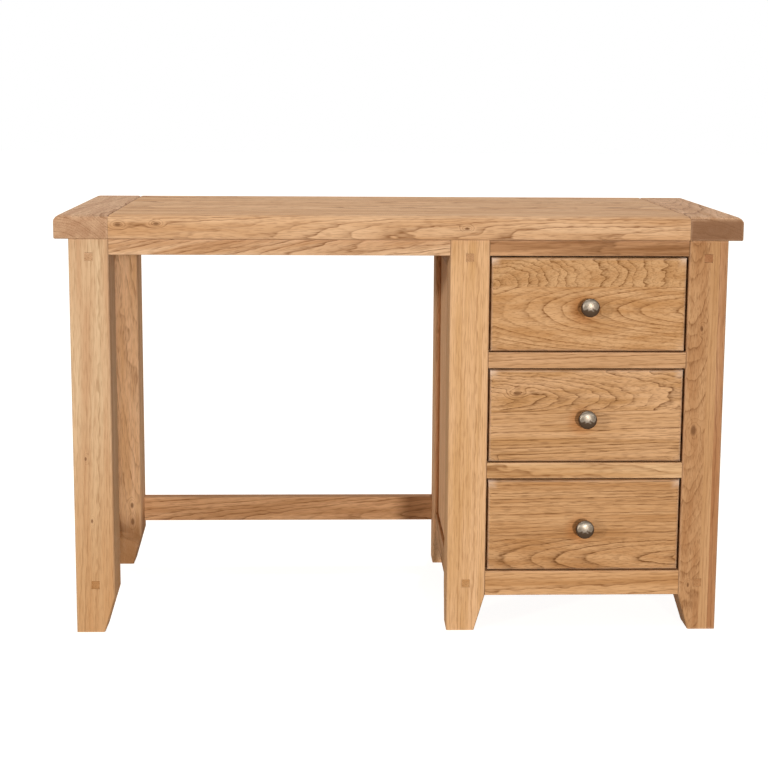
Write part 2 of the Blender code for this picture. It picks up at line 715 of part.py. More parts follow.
def make_drawer(index, drawer):
    """One dovetailed drawer under its own empty, which rides on the runners."""
    floor = opening_bottom(index) + FIT
    front_low = Vector((FRONT_LEFT, FRAME_FRONT, opening_bottom(index) + FRONT_GAP_BOTTOM))
    front_high = Vector(
        (FRONT_RIGHT, FRONT_BACK, opening_bottom(index) + OPENING_HEIGHT - FRONT_GAP_TOP)
    )
    rider = bpy.data.objects.new("slide_" + drawer, None)
    rider.location = (middle(front_low, front_high).x, FRAME_FRONT, floor)
    parts.objects.link(rider)
    prefix = "drawer_" + drawer + "_"

    # Front, rounded all round its face
    size = span(front_low, front_high)
    bm = box_mesh(size)
    rim = [
        edge for edge in bm.edges
        if all(abs(vert.co.y + size.y / 2) < 1e-6 for vert in edge.verts)
    ]
    ease(bm, rim, FRONT_EDGE, FRONT_EDGE_FACETS)
    front = put(prefix + "front", bm, middle(front_low, front_high), OAK_FRONT, rider)

    # Sides, each cut for the bottom and the back
    bottom_low_z = floor + BOTTOM_LIFT
    bottom_high_z = bottom_low_z + DRAWER_BOTTOM_THICKNESS
    reach = BOTTOM_GROOVE - FIT
    inner_left = FRONT_LEFT + DRAWER_SIDE_THICKNESS
    inner_right = FRONT_RIGHT - DRAWER_SIDE_THICKNESS
    bottom_low = Vector((inner_left - reach, FRONT_BACK - reach, bottom_low_z))
    bottom_high = Vector((inner_right + reach, DRAWER_REAR, bottom_high_z))
    back_rear = DRAWER_REAR - HOUSING_INSET
    housing = HOUSING_DEPTH - FIT
    back_low = Vector((inner_left - housing, back_rear - DRAWER_BACK_THICKNESS, bottom_high_z + FIT))
    back_high = Vector(
        (inner_right + housing, back_rear, floor + DRAWER_SIDE_HEIGHT - DRAWER_BACK_DROP)
    )
    groove = box_cutter(
        prefix + "bottom_groove", bottom_low - Vector((0, TAIL_LENGTH, 0)),
        bottom_high + Vector((0, HOUSING_INSET, 0)), FIT, rider,
    )
    house = box_cutter(
        prefix + "back_housing", back_low, back_high + Vector((0, 0, 2 * DRAWER_BACK_DROP)), FIT, rider,
    )
    for side, x in (("left", FRONT_LEFT), ("right", inner_right)):
        board = outline_solid(
            prefix + "side_" + side, side_outline(floor), x, DRAWER_SIDE_THICKNESS,
            DRAWER_LINING, rider,
        )
        combine(board, groove)
        combine(board, house)
        # A socket runs out through the end of the front
        start = x - DRAWER_SIDE_THICKNESS if side == "left" else x - FIT
        width = 2 * DRAWER_SIDE_THICKNESS + FIT
        combine(front, tail_cutter(prefix + "sockets_" + side, start, width, floor, rider))
    front_groove = box_cutter(prefix + "front_groove", bottom_low, bottom_high, FIT, rider)
    combine(front, front_groove)

    put(prefix + "bottom", box_mesh(span(bottom_low, bottom_high)),
        middle(bottom_low, bottom_high), DRAWER_LINING, rider)
    block(prefix + "back", back_low, back_high, DRAWER_LINING, parent=rider)

    # Knob, screwed into a blind hole
    knob_centre = middle(front_low, front_high)
    knob_centre.y = FRAME_FRONT
    knob_centre.z -= KNOB_DROP
    hole = box_cutter(
        prefix + "knob_hole",
        knob_centre - Vector((KNOB_STUD_RADIUS, KNOB_STUD_LENGTH, KNOB_STUD_RADIUS)),
        knob_centre + Vector((KNOB_STUD_RADIUS, KNOB_STUD_LENGTH, KNOB_STUD_RADIUS)),
        FIT, rider,
    )
    combine(front, hole)
    make_knob(prefix + "knob", knob_centre, rider)


clear_scene()
make_top()
make_frame()
make_runners()
for number, drawer_name in enumerate(DRAWERS):
    make_drawer(number, drawer_name)
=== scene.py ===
"""The looks of a waxed oak dressing table: kneehole on the left, three drawers on the right.

Metres, +Z up, front facing -Y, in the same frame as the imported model.
"""
import math

import bmesh
import bpy
from mathutils import Matrix, Vector


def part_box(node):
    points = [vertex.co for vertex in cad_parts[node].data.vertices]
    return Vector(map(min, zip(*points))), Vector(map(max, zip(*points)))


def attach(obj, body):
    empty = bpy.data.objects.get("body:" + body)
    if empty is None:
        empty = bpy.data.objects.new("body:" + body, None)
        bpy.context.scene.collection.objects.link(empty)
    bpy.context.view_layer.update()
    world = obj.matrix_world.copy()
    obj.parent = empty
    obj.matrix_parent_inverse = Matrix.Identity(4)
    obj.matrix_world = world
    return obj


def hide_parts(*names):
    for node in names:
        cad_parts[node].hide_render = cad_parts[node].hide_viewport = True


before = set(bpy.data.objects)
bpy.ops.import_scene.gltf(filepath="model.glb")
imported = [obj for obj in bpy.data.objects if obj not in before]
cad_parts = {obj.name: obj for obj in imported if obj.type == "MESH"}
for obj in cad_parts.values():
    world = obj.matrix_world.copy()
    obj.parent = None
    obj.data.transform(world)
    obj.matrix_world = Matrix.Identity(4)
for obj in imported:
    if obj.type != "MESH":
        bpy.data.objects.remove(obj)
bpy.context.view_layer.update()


# Camera
# A long lens from about three metres in front of the table and a little left of its middle,
# just above the height of the top. Place, turn and shift were fitted to the table's edges.
CAMERA_PLACE = Vector((-0.11365, -3.07222, 0.97648))
CAMERA_YAW, CAMERA_PITCH, CAMERA_ROLL = 0.03712, -0.15399, 0.00684
CAMERA_LENS = 76.757
CAMERA_SHIFT = (-0.0150, -0.0603)  # the picture was cropped off its lens's centre
SENSOR_WIDTH = 36.0
NEAREST, FARTHEST = 0.05, 60.0

camera = bpy.data.objects.new("camera", bpy.data.cameras.new("camera"))
bpy.context.scene.collection.objects.link(camera)
camera.data.sensor_width = SENSOR_WIDTH
camera.data.lens = CAMERA_LENS
camera.data.shift_x, camera.data.shift_y = CAMERA_SHIFT
camera.data.clip_start, camera.data.clip_end = NEAREST, FARTHEST
camera.matrix_world = (
    Matrix.Translation(CAMERA_PLACE)
    @ Matrix.Rotation(-CAMERA_YAW, 4, "Z")
    @ Matrix.Rotation(math.pi / 2 + CAMERA_PITCH, 4, "X")
    @ Matrix.Rotation(CAMERA_ROLL, 4, "Z")
)
bpy.context.scene.camera = camera
bpy.context.scene.view_settings.view_transform = "Standard"


# Studio
# A floor that looks white, though only a warm grey falls back from it, in a white surround.
# Far, soft lights shine from behind the camera, from both sides and from high up behind the
# table, as evenly on the rear legs as on the front ones, and a soft lamp hangs over it.
FLOOR_SIZE = 40.0
FLOOR_COLOUR = "#b8ad9c"
FLOOR_GLOW = 0.92
ROOM_LIGHT = 0.20
FAR_LIGHT_ANGLE = math.radians(5.0)
FAR_LIGHTS = {
    "front_light": {"from": (0.62, -4.3, 0.42), "strength": 1.92},
    "left_light": {"from": (-1.0, -0.84, 0.25), "strength": 0.95},
    "right_light": {"from": (1.0, -0.84, 0.25), "strength": 0.18},
    "back_light": {"from": (0.5, 2.2, 2.4), "strength": 1.15},
}
LAMP_PLACE, LAMP_SIZE, LAMP_WATTS = Vector((-0.6, -0.6, 3.2)), 2.0, 24.0
LAMP_TARGET = Vector((0.0, 0.0, 0.45))


def linear(hex_colour):
    """An sRGB hex colour as the linear RGBA that a socket takes."""
    channels = [int(hex_colour[i:i + 2], 16) / 255 for i in (1, 3, 5)]
    return [c / 12.92 if c <= 0.04045 else ((c + 0.055) / 1.055) ** 2.4 for c in channels] + [1.0]


def node(tree, kind, inputs=(), **settings):
    """Adds a node to a material with its settings, and fills or links its inputs."""
    made = tree.nodes.new("ShaderNode" + kind)
    for setting, value in settings.items():
        setattr(made, setting, value)
    for socket, value in dict(inputs).items():
        if isinstance(value, bpy.types.NodeSocket):
            tree.links.new(value, made.inputs[socket])
        else:
            made.inputs[socket].default_value = value
    return made


def new_material(name):
    """An empty material and its node tree."""
    material = bpy.data.materials.new(name)
    material.use_nodes = True
    material.node_tree.nodes.clear()
    return material, material.node_tree


def seen_directly(tree):
    """One for camera, mirror and glass rays, nought for the rays that light the object."""
    path = node(tree, "LightPath")
    glossy = node(tree, "Math", {
        0: path.outputs["Is Camera Ray"], 1: path.outputs["Is Glossy Ray"]}, operation="MAXIMUM")
    return node(tree, "Math", {
        0: glossy.outputs[0], 1: path.outputs["Is Transmission Ray"]}, operation="MAXIMUM").outputs[0]


world = bpy.data.worlds.new("white_room")
world.use_nodes = True
bpy.context.scene.world = world
room = world.node_tree
room.nodes.clear()
strength = node(room, "MapRange", {
    "Value": seen_directly(room), "To Min": ROOM_LIGHT, "To Max": 1.0})
surround = node(room, "Background", {"Color": linear("#ffffff"), "Strength": strength.outputs[0]})
node(room, "OutputWorld", {"Surface": surround.outputs[0]})

floor_mesh = bpy.data.meshes.new("floor")
bm = bmesh.new()
bmesh.ops.create_grid(bm, x_segments=1, y_segments=1, size=FLOOR_SIZE / 2)
bm.to_mesh(floor_mesh)
bm.free()
floor = bpy.data.objects.new("floor", floor_mesh)
bpy.context.scene.collection.objects.link(floor)
paper, tree = new_material("white_studio_paper")
matt = node(tree, "BsdfDiffuse", {"Color": linear(FLOOR_COLOUR)})
shine = node(tree, "Math", {0: seen_directly(tree), 1: FLOOR_GLOW}, operation="MULTIPLY")
glow = node(tree, "Emission", {"Strength": shine.outputs[0]})
both = node(tree, "AddShader", {0: matt.outputs[0], 1: glow.outputs[0]})
node(tree, "OutputMaterial", {"Surface": both.outputs[0]})
floor_mesh.materials.append(paper)

for name, row in FAR_LIGHTS.items():
    light = bpy.data.objects.new(name, bpy.data.lights.new(name, "SUN"))
    bpy.context.scene.collection.objects.link(light)
    light.data.energy = row["strength"]
    light.data.angle = FAR_LIGHT_ANGLE
    light.matrix_world = (-Vector(row["from"])).to_track_quat("-Z", "Y").to_matrix().to_4x4()

lamp = bpy.data.objects.new("top_lamp", bpy.data.lights.new("top_lamp", "AREA"))
bpy.context.scene.collection.objects.link(lamp)
lamp.data.shape = "DISK"
lamp.data.size = LAMP_SIZE
lamp.data.energy = LAMP_WATTS
aim = (LAMP_TARGET - LAMP_PLACE).to_track_quat("-Z", "Y")
lamp.matrix_world = Matrix.Translation(LAMP_PLACE) @ aim.to_matrix().to_4x4()


# Legs
# Six square legs of solid white oak, sawn, planed, stained a honey colour and waxed. Their
# edges are rubbed round by sanding, and the two inner faces of each foot are tapered.
GRAIN = {"X": Vector((1, 0, 0)), "Y": Vector((0, 1, 0)), "Z": Vector((0, 0, 1))}
RING_WIDTH = 0.0045  # a fast-grown oak, 3 to 6 mm a year
PORE_WIDTH = 0.0017  # real pores are 0.3 mm across, too fine to show, so these are coarser
PORE_LENGTH = 0.024
STREAK_WIDTH, STREAK_LENGTH = 0.018, 0.34
FIGURE_WIDTH, FIGURE_LENGTH = 0.075, 0.40
RIPPLE_WIDTH, RIPPLE_LENGTH = 0.012, 0.035
UNEVEN_RUN, UNEVEN_RINGS = 0.45, 1.3  # good and bad years come in runs of about two
FAINTEST_RING, RING_BETWEEN_PORES = 0.25, 0.80
# Each year opens with a dark line of large pores and fades into plain late wood
EARLY_WOOD = ((0.0, 0.0), (0.07, 1.0), (0.20, 0.45), (0.50, 0.10), (1.0, 0.0))
OPEN_PORES, STREAKS = (0.50, 0.62), (0.36, 0.64)  # the noise between which each sets in
SAWN_FACING = (0.55, 0.95)  # how squarely a face must look along the grain to be a sawn end
LOG_SEED, STREAK_SEED = 7.0, 3.0
# Widths of the paler edges, wear and on drawer fronts also a painted sheen, and of the painted corner
# highlight
RUBBED_AND_SHEEN_EDGE_WIDTH, SHEEN_CORNER_WIDTH = 0.005, 0.020
LOWER_CORNER_SHEEN_SHARE = 0.25  # of the painted highlight on the upper corners
KNOT_RINGS, KNOT_HUE, KNOT_DARKNESS, KNOT_CORE = 2.6, "#6b4428", 0.75, (0.86, 0.98)
# A painted shadow around each drawer knob, darkest to its lower left
KNOB_SHADOW_SIZE, KNOB_SHADOW_HUE, KNOB_SHADOW_DARKNESS, KNOB_SHADOW_CORE = 0.034, "#b06f38", 0.60, 0.35
WAX_IOR, WAX_SHINE = 1.45, 0.12
WAXED_ROUGHNESS, PORE_ROUGHNESS = 0.72, 0.85
PORE_DEPTH = 0.00022
STAIN_FADE, GATHERED_STAIN, GATHERED_AMOUNT = 0.0014, "#4a2a14", 0.9


def stretched(tree, log, width, length, seed=0.0):
    """Log coordinates counted in grain features that are so wide and so long."""
    return node(tree, "VectorMath", {
        0: log, 1: (1 / width, 1 / width, 1 / length), 2: (seed, seed, seed),
    }, operation="MULTIPLY_ADD").outputs[0]


def shape_ramp(ramp, stops):
    """Sets a ramp's stops, each a place and a colour, in rising order."""
    while len(ramp.elements) < len(stops):
        ramp.elements.new(0.5)
    for element, (place, colour) in zip(ramp.elements, stops):
        element.position = place
        element.color = colour


def oak(name, box, along, heart, pale, warm, line, lean=(0, 0, 0), ring=RING_WIDTH,
        wander=0.011, wave=0.7, depth=0.95, pores=0.30, end=0.55, rubbed_and_sheen=0.35,
        edge_hue="#e2bb98", corner=0.0, knots=(), foot=None, knob_shadow=None, sunk=None):
    """Waxed oak sawn from a log whose heart passes through a point.

    The rings are cylinders about the heart, so flat-sawn faces get cathedrals, quarter-sawn
    ones straight lines and sawn ends arcs. pale and warm are the tones of the long streaks,
    line that of the pores and the early wood. Wax gives a soft sheen that the open pores break.
    end, rubbed_and_sheen and corner say how much the sawn ends darken, the edges pale with wear
    and a painted sheen, and the corners pale with a painted highlight.
    Each knot is a place and the width of the swirl around it. foot is a change of tone towards
    the low end, on the rear left leg a painted shade, knob_shadow the place around which a
    knob's painted shadow lies, and sunk the height below which stain has gathered.
    """
    material, tree = new_material(name)
    place = node(tree, "TexCoord")
    trunk = (GRAIN[along] + Vector(lean)).normalized()
    log = node(tree, "Mapping", {
        "Vector": place.outputs["Object"], "Location": heart,
        "Rotation": trunk.to_track_quat("Z", "Y").to_euler(),
    }, vector_type="TEXTURE").outputs[0]
    seed = sum(heart) * LOG_SEED

    figure = node(tree, "TexNoise", {
        "Vector": stretched(tree, log, FIGURE_WIDTH, FIGURE_LENGTH, seed),
        "Scale": 1.0, "Detail": 2.0, "Roughness": 0.45})
    bent = node(tree, "VectorMath", {
        0: figure.outputs["Color"], 1: (wander, wander, 0.0), 2: log}, operation="MULTIPLY_ADD")
    flat = node(tree, "VectorMath", {0: bent.outputs[0], 1: (1.0, 1.0, 0.0)}, operation="MULTIPLY")
    radius = node(tree, "VectorMath", {0: flat.outputs[0]}, operation="LENGTH").outputs["Value"]
    ripple = node(tree, "TexNoise", {
        "Vector": stretched(tree, log, RIPPLE_WIDTH, RIPPLE_LENGTH), "Scale": 1.0, "Detail": 1.0})
    years = node(tree, "Math", {0: radius, 1: 1 / ring}, operation="MULTIPLY")
    uneven = node(tree, "TexNoise", {
        "W": years.outputs[0], "Scale": UNEVEN_RUN, "Detail": 1.0}, noise_dimensions="1D")
    rippled = node(tree, "Math", {
        0: ripple.outputs[0], 1: wave, 2: years.outputs[0]}, operation="MULTIPLY_ADD")
    count = node(tree, "Math", {
        0: uneven.outputs[0], 1: UNEVEN_RINGS, 2: rippled.outputs[0]}, operation="MULTIPLY_ADD")
    hearts_of_knots = []
    for x, y, z, width in knots:
        swirl_size = Vector((width, width, width)) + GRAIN[along] * width
        swirl = node(tree, "Mapping", {
            "Vector": place.outputs["Object"], "Location": (x, y, z), "Scale": swirl_size,
        }, vector_type="TEXTURE")
        reach = node(tree, "VectorMath", {0: swirl.outputs[0]}, operation="LENGTH")
        near = node(tree, "MapRange", {
            "Value": reach.outputs["Value"], "To Min": 1.0, "To Max": 0.0},
            interpolation_type="SMOOTHERSTEP")
        hearts_of_knots.append(near.outputs[0])
        count = node(tree, "Math", {
            0: near.outputs[0], 1: KNOT_RINGS, 2: count.outputs[0]}, operation="MULTIPLY_ADD")
    year = node(tree, "Math", {0: count.outputs[0]}, operation="FLOOR")
    within = node(tree, "Math", {0: count.outputs[0]}, operation="FRACT")
    chance = node(tree, "TexWhiteNoise", {"W": year.outputs[0]}, noise_dimensions="1D")
    vigour = node(tree, "MapRange", {
        "Value": chance.outputs[0], "To Min": FAINTEST_RING, "To Max": 1.0})
    early = node(tree, "ValToRGB", {"Fac": within.outputs[0]})
    shape_ramp(early.color_ramp, [(stop, (grey, grey, grey, 1.0)) for stop, grey in EARLY_WOOD])
    rings = node(tree, "Math", {
        0: early.outputs[0], 1: vigour.outputs[0]}, operation="MULTIPLY").outputs[0]

    pore_noise = node(tree, "TexNoise", {
        "Vector": stretched(tree, log, PORE_WIDTH, PORE_LENGTH), "Scale": 1.0, "Detail": 1.0})
    open_pores = node(tree, "MapRange", {
        "Value": pore_noise.outputs[0], "From Min": OPEN_PORES[0], "From Max": OPEN_PORES[1]}).outputs[0]
    broken = node(tree, "MapRange", {
        "Value": open_pores, "To Min": RING_BETWEEN_PORES, "To Max": 1.0})
    banded = node(tree, "Math", {0: rings, 1: broken.outputs[0]}, operation="MULTIPLY")
    dark = node(tree, "Math", {
        0: open_pores, 1: pores, 2: banded.outputs[0]}, operation="MULTIPLY_ADD", use_clamp=True)

    streak_noise = node(tree, "TexNoise", {
        "Vector": stretched(tree, log, STREAK_WIDTH, STREAK_LENGTH, seed + STREAK_SEED),
        "Scale": 1.0, "Detail": 2.0, "Roughness": 0.6})
    streak = node(tree, "MapRange", {
        "Value": streak_noise.outputs[0], "From Min": STREAKS[0], "From Max": STREAKS[1]})
    ground = node(tree, "Mix", {
        "Factor": streak.outputs[0], 6: linear(pale), 7: linear(warm)}, data_type="RGBA")
    height = node(tree, "SeparateXYZ", {0: place.outputs["Object"]}).outputs[2]
    if foot:
        foot_top, foot_end, amount, hue = foot
        lower_down = node(tree, "MapRange", {
            "Value": height, "From Min": foot_end, "From Max": foot_top, "To Min": amount,
            "To Max": 0.0}, interpolation_type="SMOOTHSTEP")
        ground = node(tree, "Mix", {
            "Factor": lower_down.outputs[0], 6: ground.outputs[2], 7: linear(hue)}, data_type="RGBA")
    # A painted shadow of the knob on the drawer front
    if knob_shadow:
        knob_shadow_place = node(tree, "Mapping", {
            "Vector": place.outputs["Object"], "Location": knob_shadow,
            "Scale": (KNOB_SHADOW_SIZE, KNOB_SHADOW_SIZE, KNOB_SHADOW_SIZE)}, vector_type="TEXTURE")
        away = node(tree, "VectorMath", {0: knob_shadow_place.outputs[0]}, operation="LENGTH")
        knob_shadowed = node(tree, "MapRange", {
            "Value": away.outputs["Value"], "From Min": KNOB_SHADOW_CORE, "To Min": KNOB_SHADOW_DARKNESS,
            "To Max": 0.0}, interpolation_type="SMOOTHSTEP")
        ground = node(tree, "Mix", {
            "Factor": knob_shadowed.outputs[0], 6: ground.outputs[2], 7: linear(KNOB_SHADOW_HUE)},
            data_type="RGBA")
    lined = node(tree, "Math", {0: dark.outputs[0], 1: depth}, operation="MULTIPLY")
    figured = node(tree, "Mix", {
        "Factor": lined.outputs[0], 6: ground.outputs[2], 7: linear(line)}, data_type="RGBA")

    for near in hearts_of_knots:
        core = node(tree, "MapRange", {
            "Value": near, "From Min": KNOT_CORE[0], "From Max": KNOT_CORE[1],
            "To Max": KNOT_DARKNESS})
        figured = node(tree, "Mix", {
            "Factor": core.outputs[0], 6: figured.outputs[2], 7: linear(KNOT_HUE)}, data_type="RGBA")

    # Sawn ends drink more stain and wax than the faces and come out darker
    facing = node(tree, "VectorMath", {
        0: place.outputs["Normal"], 1: GRAIN[along]}, operation="DOT_PRODUCT")
    facing = node(tree, "Math", {0: facing.outputs["Value"]}, operation="ABSOLUTE")
    sawn = node(tree, "MapRange", {
        "Value": facing.outputs[0], "From Min": SAWN_FACING[0], "From Max": SAWN_FACING[1],
        "To Max": end})
    ended = node(tree, "Mix", {
        "Factor": sawn.outputs[0], 6: figured.outputs[2], 7: linear(line)}, data_type="RGBA")

    # Sanding and handling thin the stain along a piece's long edges, and on drawer fronts a painted sheen
    # pales them
    low, high = box
    inside = node(tree, "VectorMath", {
        0: place.outputs["Object"], 1: (low + high) / 2}, operation="SUBTRACT")
    inside = node(tree, "VectorMath", {0: inside.outputs[0]}, operation="ABSOLUTE")
    inside = node(tree, "VectorMath", {0: (high - low) / 2, 1: inside.outputs[0]}, operation="SUBTRACT")
    depths = node(tree, "SeparateXYZ", {0: inside.outputs[0]}).outputs
    lesser = node(tree, "Math", {0: depths[0], 1: depths[1]}, operation="MINIMUM")
    greater = node(tree, "Math", {0: depths[0], 1: depths[1]}, operation="MAXIMUM")
    lower = node(tree, "Math", {0: greater.outputs[0], 1: depths[2]}, operation="MINIMUM")
    to_edge = node(tree, "Math", {0: lesser.outputs[0], 1: lower.outputs[0]}, operation="MAXIMUM")
    edge = node(tree, "MapRange", {
        "Value": to_edge.outputs[0], "From Max": RUBBED_AND_SHEEN_EDGE_WIDTH, "To Min": rubbed_and_sheen, "To Max": 0.0},
        interpolation_type="SMOOTHSTEP")
    if corner:  # a painted highlight on the corners, strongest on the upper ones
        farther = node(tree, "Math", {0: greater.outputs[0], 1: depths[2]}, operation="MAXIMUM")
        at_corner = node(tree, "MapRange", {
            "Value": farther.outputs[0], "From Max": SHEEN_CORNER_WIDTH, "To Min": corner, "To Max": 0.0},
            interpolation_type="SMOOTHSTEP")
        upper = node(tree, "MapRange", {
            "Value": height, "From Min": (low.z + high.z) / 2, "From Max": high.z,
            "To Min": LOWER_CORNER_SHEEN_SHARE})
        at_corner = node(tree, "Math", {
            0: at_corner.outputs[0], 1: upper.outputs[0]}, operation="MULTIPLY")
        edge = node(tree, "Math", {0: edge.outputs[0], 1: at_corner.outputs[0]}, operation="ADD")
    patchy = node(tree, "Math", {0: edge.outputs[0], 1: ripple.outputs[0]}, operation="MULTIPLY")
    worn_and_sheened = node(tree, "Mix", {
        "Factor": patchy.outputs[0], 6: ended.outputs[2], 7: linear(edge_hue)}, data_type="RGBA")
    if sunk:
        gathered = node(tree, "MapRange", {
            "Value": height, "From Min": sunk - STAIN_FADE, "From Max": sunk,
            "To Min": GATHERED_AMOUNT, "To Max": 0.0})
        worn_and_sheened = node(tree, "Mix", {
            "Factor": gathered.outputs[0], 6: worn_and_sheened.outputs[2], 7: linear(GATHERED_STAIN)},
            data_type="RGBA")

    roughness = node(tree, "MapRange", {
        "Value": dark.outputs[0], "To Min": WAXED_ROUGHNESS, "To Max": PORE_ROUGHNESS})
    relief = node(tree, "Bump", {
        "Height": dark.outputs[0], "Distance": PORE_DEPTH, "Strength": 1.0}, invert=True)
    surface = node(tree, "BsdfPrincipled", {
        "Base Color": worn_and_sheened.outputs[2], "Roughness": roughness.outputs[0],
        "Normal": relief.outputs[0], "IOR": WAX_IOR,
        "Specular IOR Level": WAX_SHINE})
    node(tree, "OutputMaterial", {"Surface": surface.outputs[0]})
    return material


SAME_PLACE = 1e-6
FLAT_WITHIN = math.radians(0.5)
SOFT_EDGE, HARD_EDGE = math.radians(8.0), math.radians(50.0)  # between them lie the eased edges
SHARP_IN_SHADE = math.radians(35.0)
EDGE_STEPS = 3


def eased(name, reach, body, slot, *materials, weld=0.0, assign=None):
    """A finer stand-in for a CAD piece, whose eased edges are rounded from facets to curves."""
    bm = bmesh.new()
    bm.from_mesh(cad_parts[name].data)
    bmesh.ops.remove_doubles(bm, verts=bm.verts, dist=SAME_PLACE)
    bmesh.ops.dissolve_limit(bm, angle_limit=FLAT_WITHIN, verts=bm.verts, edges=bm.edges)
    soft = [edge for edge in bm.edges if SOFT_EDGE < edge.calc_face_angle(0.0) < HARD_EDGE]
    bmesh.ops.bevel(bm, geom=soft, offset=reach, offset_type="OFFSET", segments=EDGE_STEPS,
                    profile=0.5, affect="EDGES", material=-1, clamp_overlap=True)
    if weld:  # slivers where a rounded edge meets a groove
        bmesh.ops.remove_doubles(bm, verts=bm.verts, dist=weld)
    if assign:
        assign(bm)
    bmesh.ops.connect_verts_concave(bm, faces=bm.faces)
    mesh = bpy.data.meshes.new("oak_" + name)
    bm.to_mesh(mesh)
    bm.free()
    mesh.shade_smooth()
    mesh.set_sharp_from_angle(angle=SHARP_IN_SHADE)
    piece = bpy.data.objects.new("oak_" + name, mesh)
    bpy.context.scene.collection.objects.link(piece)
    level = piece.modifiers.new("level_faces", "WEIGHTED_NORMAL")
    level.keep_sharp = True
    for material in materials:
        mesh.materials.append(material)
    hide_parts(name)
    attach(piece, body)


def glued(axis, *seams, groove=None):
    """Parts a piece at its glue lines, so that each board and groove has its own wood."""
    def cut(bm):
        for seam in seams:
            place, across = Vector(), Vector()
            place[axis], across[axis] = seam, 1.0
            bmesh.ops.bisect_plane(bm, geom=bm.verts[:] + bm.edges[:] + bm.faces[:],
                                   plane_co=place, plane_no=across)
        for face in bm.faces:
            middle = face.calc_center_median()
            face.material_index = sum(middle[axis] > seam for seam in seams)
            if groove and groove(middle, face.normal):
                face.material_index = len(seams) + 1
    return cut


LEG_EDGE_REACH = 0.0007
# Paler: painted light that makes up for the front centre leg's shadow on the rear centre leg
PALE_LEG_TONES = {"pale": "#eabd92", "warm": "#d9a87a", "line": "#9c6f49", "depth": 0.6}
LEGS = {
    "leg_front_left": {
        "heart": (-0.62, -0.35, 0.2), "lean": (0.010, 0.014, 0), "pale": "#d9b790", "warm": "#caa079",
        "line": "#94683f", "depth": 0.6, "pores": 0.36, "foot": (0.50, 0.0, 0.6, "#bf8850"),
        "knots": ((-0.554, -0.232, 0.318, 0.008), (-0.545, -0.232, 0.205, 0.008))},
    # The darker foot of this leg is a painted shade
    "leg_rear_left": {
        "heart": (-0.50, 0.02, 0.2), "lean": (0.012, 0.05, 0), "pale": "#e6bc92", "warm": "#d1a374",
        "line": "#8e613a", "depth": 0.7, "pores": 0.38, "foot": (0.130, 0.060, 0.75, "#84542a"),
        "knots": ((-0.525, 0.172, 0.128, 0.012), (-0.5245, 0.172, 0.094, 0.015))},
    "leg_front_centre": {
        "heart": (0.25, -0.30, 0.2), "lean": (0.004, 0.006, 0), "pale": "#e2b588", "warm": "#cfa06e",
        "line": "#98683c", "depth": 0.65, "pores": 0.36},
    "leg_rear_centre": {
        "heart": (0.10, 0.33, 0.2), "lean": (0.01, 0.01, 0), **PALE_LEG_TONES},
    "leg_rear_right": {
        "heart": (0.62, 0.10, 0.2), "lean": (0.01, 0.01, 0), **PALE_LEG_TONES},
}
for name, wood in LEGS.items():
    eased(name, LEG_EDGE_REACH, "table", "oak_frame",
          oak("waxed_oak_" + name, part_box(name), "Z", **wood))

# The right front leg is glued up from three staves that were never sorted for colour
STAVE_SEAMS = (0.545, 0.561)
STAVES = (
    {"heart": (0.525, -0.200, 0.72), "lean": (0.01, -0.14, 0), "ring": 0.0038, "wave": 0.6,
     "pale": "#bf9165", "warm": "#ae7d52", "line": "#855935", "pores": 0.35,
     "knots": ((0.5333, -0.232, 0.552, 0.011), (0.5247, -0.232, 0.3686, 0.021),
               (0.5245, -0.232, 0.083, 0.009))},
    {"heart": (0.70, -0.28, 0.2), "lean": (0.005, 0.01, 0),
     "pale": "#c7996c", "warm": "#b8895b", "line": "#895c38", "depth": 0.6},
    {"heart": (0.65, -0.40, 0.2), "lean": (0.005, 0.01, 0),
     "pale": "#c3946b", "warm": "#aa774f", "line": "#7b4e2f", "depth": 0.7,
     "foot": (0.55, 0.30, 0.6, "#a26c42")},
)
right_leg_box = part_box("leg_front_right")
eased("leg_front_right", LEG_EDGE_REACH, "table", "oak_frame",
      *[oak("waxed_oak_stave_" + str(number), right_leg_box, "Z", **wood)
        for number, wood in enumerate(STAVES)], assign=glued(0, *STAVE_SEAMS))


